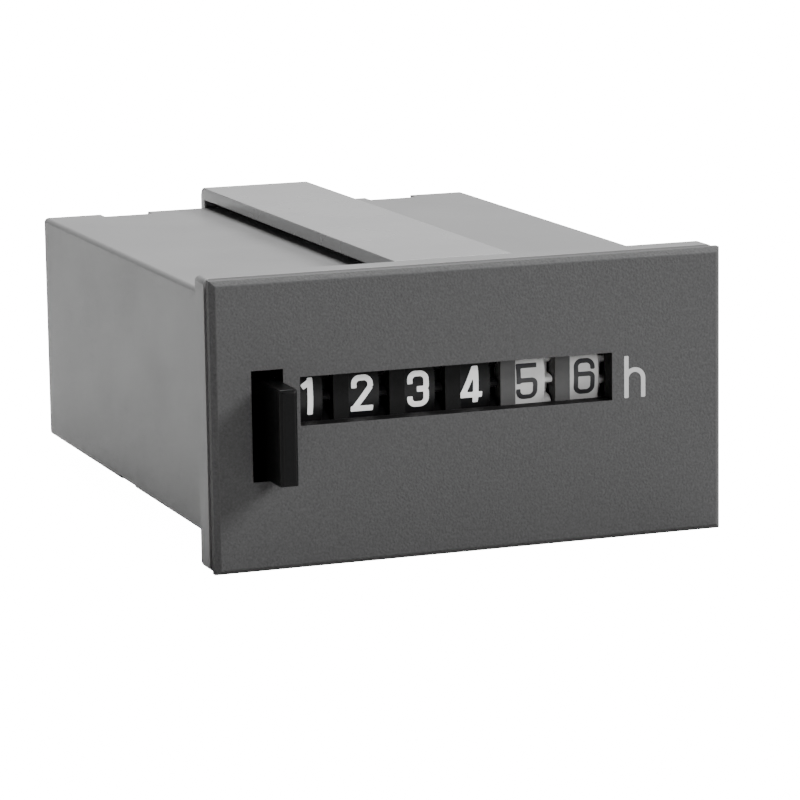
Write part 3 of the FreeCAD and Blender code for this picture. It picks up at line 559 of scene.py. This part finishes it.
def metal(name, colour, tarnish, gloss=0.25, lines=(300.0, 6000.0, 6000.0)):
    return finish_of(name, metal_skin, 0.002,
                     [("Colour", colour), ("Tarnish", tarnish), ("Lines", lines), ("Gloss", gloss)],
                     [("Metallic", 1.0)])


tinned = metal("tinned brass", (0.62, 0.61, 0.58, 1), (0.42, 0.40, 0.36, 1), 0.26, (6000.0, 300.0, 6000.0))
blade_edge = 0.07 * mm
for side in ("left", "right"):
    blade = moulding("terminal_blade_" + side, "terminal_" + side, blade_edge)
    fitted(blade, tinned, "root", "tinned_brass", "terminal_" + side)

# ---- lever spring -------------------------------------------------------------------------------
# A coil of drawn steel wire stands on the housing floor and lifts the lever's leg.
low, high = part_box("lever_spring")
wire = 0.28 * mm
coil_turns = 4.0
coil_radius = 0.72 * mm
per_turn = 24
spring_points = nodes["lever_spring"].data.vertices
spring_x = sum(v.co.x for v in spring_points) / len(spring_points)
spring_y = sum(v.co.y for v in spring_points) / len(spring_points)


def swept_wire(name, line, radius, around=8):
    """A closed round wire along a line of points."""
    points, faces = [], []
    for index, here in enumerate(line):
        before, after = line[max(index - 1, 0)], line[min(index + 1, len(line) - 1)]
        way = (after - before).normalized()
        side = way.cross(Vector((0, 0, 1))).normalized()
        rise = side.cross(way)
        for k in range(around):
            angle = 2 * pi * k / around
            points.append(here + (side * cos(angle) + rise * sin(angle)) * radius)
    for index in range(len(line) - 1):
        for k in range(around):
            a, b = index * around + k, index * around + (k + 1) % around
            faces.append([a, b, b + around, a + around])
    last = (len(line) - 1) * around
    faces += [list(range(around))[::-1], [last + k for k in range(around)]]
    mesh = bpy.data.meshes.new(name)
    mesh.from_pydata(points, [], faces)
    work = bmesh.new()
    work.from_mesh(mesh)
    bmesh.ops.recalc_face_normals(work, faces=work.faces)
    for face in work.faces:
        face.smooth = len(face.verts) == 4
    work.to_mesh(mesh)
    work.free()
    return mesh


spring_low, spring_high = low.z + wire / 2, high.z - wire / 2
steps = int(coil_turns * per_turn)
coil_line = []
for step in range(steps + 1):
    angle = 2 * pi * step / per_turn
    coil_line.append(Vector((spring_x + coil_radius * cos(angle), spring_y + coil_radius * sin(angle),
                             spring_low + (spring_high - spring_low) * step / steps)))
spring_steel = metal("drawn spring wire", (0.50, 0.50, 0.52, 1), (0.30, 0.30, 0.31, 1), 0.24)
spring = placed("lever_spring_coil", swept_wire("lever_spring_coil", coil_line, wire / 2))
fitted(spring, spring_steel, "root", "spring_steel", "lever_spring")
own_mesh(spring)

# ---- coil winding -------------------------------------------------------------------------------
# The motor's coil is wound of enamelled copper wire on its bobbin; its outer layer shows as turns.
low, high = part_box("coil_winding")
winding_turns = 36
copper = metal("enamelled copper wire", (0.55, 0.22, 0.08, 1), (0.40, 0.14, 0.05, 1), 0.3,
               (2000.0, 2000.0, 2000.0))


def wound_coil(name):
    """Geometry nodes: rings of wire set side by side along the coil's axis."""
    tree = bpy.data.node_groups.new(name, "GeometryNodeTree")
    for label, kind in (("Turns", "NodeSocketInt"), ("Length", "NodeSocketFloat"),
                        ("Radius", "NodeSocketFloat"),
                        ("Wire", "NodeSocketFloat"), ("Material", "NodeSocketMaterial")):
        tree.interface.new_socket(name=label, in_out="INPUT", socket_type=kind)
    tree.interface.new_socket(name="Geometry", in_out="OUTPUT", socket_type="NodeSocketGeometry")
    given, out = tree.nodes.new("NodeGroupInput"), tree.nodes.new("NodeGroupOutput")
    top = add(tree, "ShaderNodeCombineXYZ", [("Z", given.outputs["Length"])])
    places = add(tree, "GeometryNodeMeshLine", [("Count", given.outputs["Turns"]),
                                                ("Offset", top.outputs[0])], mode="END_POINTS")
    ring = add(tree, "GeometryNodeCurvePrimitiveCircle",
               [("Resolution", 40), ("Radius", given.outputs["Radius"])])
    section = add(tree, "GeometryNodeCurvePrimitiveCircle", [("Resolution", 6),
                                                            ("Radius", given.outputs["Wire"])])
    turn = add(tree, "GeometryNodeCurveToMesh", [("Curve", ring.outputs["Curve"]),
                                                 ("Profile Curve", section.outputs["Curve"])])
    turns = add(tree, "GeometryNodeInstanceOnPoints", [("Points", places.outputs["Mesh"]),
                                                       ("Instance", turn.outputs["Mesh"])])
    real = add(tree, "GeometryNodeRealizeInstances", [("Geometry", turns.outputs["Instances"])])
    painted = add(tree, "GeometryNodeSetMaterial", [("Geometry", real.outputs["Geometry"]),
                                                    ("Material", given.outputs["Material"])])
    tree.links.new(painted.outputs["Geometry"], out.inputs["Geometry"])
    return tree


def grown(name, tree, values):
    """A plain mesh from a node tree whose inputs are set by name."""
    seed = bpy.data.objects.new(name, bpy.data.meshes.new(name))
    bpy.context.scene.collection.objects.link(seed)
    modifier = seed.modifiers.new("grown", "NODES")
    modifier.node_group = tree
    for item in tree.interface.items_tree:
        if item.item_type == "SOCKET" and item.in_out == "INPUT" and item.name in values:
            modifier[item.identifier] = values[item.name]
    seen = seed.evaluated_get(bpy.context.evaluated_depsgraph_get())
    mesh = bpy.data.meshes.new_from_object(seen)
    bpy.data.objects.remove(seed)
    mesh.name = name
    return mesh


wire_radius = (high.z - low.z) / winding_turns / 2
rings = grown("winding_turns", wound_coil("wound coil"), {
    "Turns": winding_turns, "Length": high.z - low.z - 2 * wire_radius,
    "Radius": (high.x - low.x) / 2 - wire_radius, "Wire": wire_radius, "Material": copper})
rings.transform(Matrix.Translation(((low.x + high.x) / 2, (low.y + high.y) / 2, low.z + wire_radius)))
turns = bpy.data.objects.new("winding_turns", rings)
bpy.context.scene.collection.objects.link(turns)
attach(turns, "root")
nodes["coil_winding"].data.materials.clear()
nodes["coil_winding"].data.materials.append(copper)

# ---- movement and electronics -------------------------------------------------------------------
# The plates, arbors, gears, pinions, motor and board keep their true forms; each gets its own finish.
zinc = metal("zinc plated steel", (0.55, 0.56, 0.57, 1), (0.42, 0.43, 0.42, 1), 0.34, (6000.0, 500.0, 500.0))
ground = metal("ground steel", (0.60, 0.60, 0.61, 1), (0.48, 0.48, 0.48, 1), 0.16, (200.0, 5000.0, 5000.0))
screw_metal = metal("screw steel", (0.45, 0.45, 0.46, 1), (0.30, 0.30, 0.30, 1), 0.28)
brass = metal("turned brass", (0.62, 0.46, 0.20, 1), (0.46, 0.32, 0.13, 1), 0.22, (200.0, 5000.0, 5000.0))
gear_brass = metal("stamped gear brass", (0.66, 0.50, 0.23, 1), (0.50, 0.36, 0.15, 1), 0.26,
                   (5000.0, 500.0, 500.0))
iron = metal("annealed iron", (0.30, 0.29, 0.28, 1), (0.18, 0.17, 0.17, 1), 0.42, (500.0, 500.0, 500.0))
can = metal("drawn can", (0.60, 0.60, 0.60, 1), (0.50, 0.50, 0.49, 1), 0.2, (300.0, 5000.0, 5000.0))
acetal = plastic("natural acetal", (0.60, 0.59, 0.55, 1), (0.66, 0.65, 0.6, 1), 0.06, 1500.0, 0.03, 0.34,
                 0.002)
dark_acetal = plastic("dark acetal", (0.045, 0.045, 0.047, 1), (0.1, 0.1, 0.1, 1), 0.2, 1500.0, 0.08, 0.36,
                      0.002)
ferrite = plastic("bonded ferrite", (0.035, 0.034, 0.034, 1), (0.08, 0.08, 0.08, 1), 0.3, 2500.0, 0.4, 0.6,
                  0.01)
epoxy = plastic("moulded epoxy", (0.012, 0.012, 0.012, 1), (0.04, 0.04, 0.04, 1), 0.2, 5000.0, 0.2, 0.55,
                0.006)
sleeve = plastic("shrunk sleeve", (0.012, 0.018, 0.05, 1), (0.05, 0.06, 0.1, 1), 0.2, 900.0, 0.05, 0.2, 0.002)
laminate = plastic("green board laminate", (0.012, 0.08, 0.03, 1), (0.2, 0.22, 0.1, 1), 0.25, 700.0, 0.25,
                   0.3,
                   0.004)
finishes = {
    "frame_plate_left": zinc, "frame_plate_right": zinc, "train_bridge": zinc, "comb_crank": zinc,
    "frame_pillars": brass, "stator_posts": brass, "frame_screws": screw_metal,
    "wheel_shaft": ground, "carrier_stud": ground, "lever_pivot_pin": ground, "comb_shaft": ground,
    "pinion_shaft": ground, "output_arbor": ground, "slow_arbor": ground, "fast_arbor": ground,
    "rotor_arbor": ground, "output_gear": gear_brass, "output_train_gear": gear_brass,
    "slow_train_gear": gear_brass, "fast_train_gear": gear_brass, "rotor_magnet": ferrite,
    "stator": iron, "coil_core": iron, "coil_bobbin": dark_acetal, "coil_leads": copper,
    "circuit_board": laminate, "quartz_crystal": can, "driver_chip": epoxy, "capacitor": sleeve,
    "reset_comb": acetal, "pinion_carrier": dark_acetal,
}
for number in range(1, wheel_count):
    finishes["transfer_pinion_%d" % number] = acetal
for name, material in finishes.items():
    nodes[name].data.materials.clear()
    nodes[name].data.materials.append(material)

# ---- floor, light and camera --------------------------------------------------------------------
# A plain pale flat floor, soft lights above and to the right, weaker ones at the left and in front,
# and the view from the front left, a little above.
floor_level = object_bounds()[0].z - 0.02 * mm
floor_glow, room_glow = 16.0, 18.0
room_front, room_back = 0.04, 0.55
floor_mesh = bpy.data.meshes.new("floor")
reach = 3.0
floor_mesh.from_pydata([(-reach, -reach, floor_level), (reach, -reach, floor_level),
                        (reach, reach, floor_level), (-reach, reach, floor_level)], [], [(0, 1, 2, 3)])
floor = bpy.data.objects.new("floor", floor_mesh)
bpy.context.scene.collection.objects.link(floor)
floor_white = bpy.data.materials.new("pale floor")
floor_white.use_nodes = True
tree = floor_white.node_tree
surface = tree.nodes["Principled BSDF"]
surface.inputs["Base Color"].default_value = (0.45, 0.45, 0.45, 1)
surface.inputs["Roughness"].default_value = 1.0
surface.inputs["Specular IOR Level"].default_value = 0.0
seen = add(tree, "ShaderNodeLightPath")
glow = add(tree, "ShaderNodeMath", [(0, seen.outputs["Is Camera Ray"]), (1, floor_glow)],
           operation="MULTIPLY")
surface.inputs["Emission Color"].default_value = (1, 1, 1, 1)
tree.links.new(glow.outputs[0], surface.inputs["Emission Strength"])
floor_mesh.materials.append(floor_white)

# The room is bright to the eye, and for light it is brighter behind the meter than in front of it.
world = bpy.data.worlds.new("soft room")
bpy.context.scene.world = world
world.use_nodes = True
tree = world.node_tree
sky = tree.nodes["Background"]
seen = add(tree, "ShaderNodeLightPath")
way = add(tree, "ShaderNodeTexCoord")
parts = add(tree, "ShaderNodeSeparateXYZ", [(0, way.outputs["Generated"])])
depth = add(tree, "ShaderNodeMapRange", [("Value", parts.outputs["Y"]), (1, -0.3), (2, 0.9), (3, room_front),
                                         (4, room_back)])
strength = add(tree, "ShaderNodeMath", [(0, seen.outputs["Is Camera Ray"]), (1, room_glow),
                                        (2, depth.outputs[0])], operation="MULTIPLY_ADD")
tree.links.new(strength.outputs[0], sky.inputs["Strength"])
sky.inputs["Color"].default_value = (1, 1, 1, 1)


def soft_light(name, place, size, power, glossy=True):
    data = bpy.data.lights.new(name, "AREA")
    data.shape = "SQUARE"
    data.size = size
    data.energy = power
    lamp = bpy.data.objects.new(name, data)
    bpy.context.scene.collection.objects.link(lamp)
    lamp.location = place
    lamp.visible_glossy = glossy
    lamp.rotation_euler = (Vector((0, 0.02, 0)) - Vector(place)).to_track_quat("-Z", "Y").to_euler()


soft_light("key_light", (0.66, -0.40, 0.50), 0.30, 15.0)
soft_light("top_light", (0.10, 0.35, 0.80), 0.45, 16.0)
soft_light("left_light", (-0.85, 0.10, 0.02), 0.5, 1.6)
soft_light("front_light", (0.15, -0.90, 0.30), 0.25, 6.0, glossy=False)

camera_place = (-0.13885, -0.36204, 0.07140)
camera_lens = 180.5
sensor_width = 36.0
camera_data = bpy.data.cameras.new("camera")
camera = bpy.data.objects.new("camera", camera_data)
bpy.context.scene.collection.objects.link(camera)
bpy.context.scene.camera = camera
camera_data.sensor_width = sensor_width
camera_data.lens = camera_lens
camera_data.clip_start = 0.01
camera_data.clip_end = 20.0
yaw, tilt, roll = 0.3522, 0.1817, -0.0148
forward = Vector((sin(yaw) * cos(tilt), cos(yaw) * cos(tilt), -sin(tilt)))
right = Vector((cos(yaw), -sin(yaw), 0))
up = right.cross(forward)
right, up = right * cos(roll) + up * sin(roll), up * cos(roll) - right * sin(roll)
turned = Matrix((right, up, -forward)).transposed()
camera.matrix_world = Matrix.Translation(camera_place) @ turned.to_4x4()
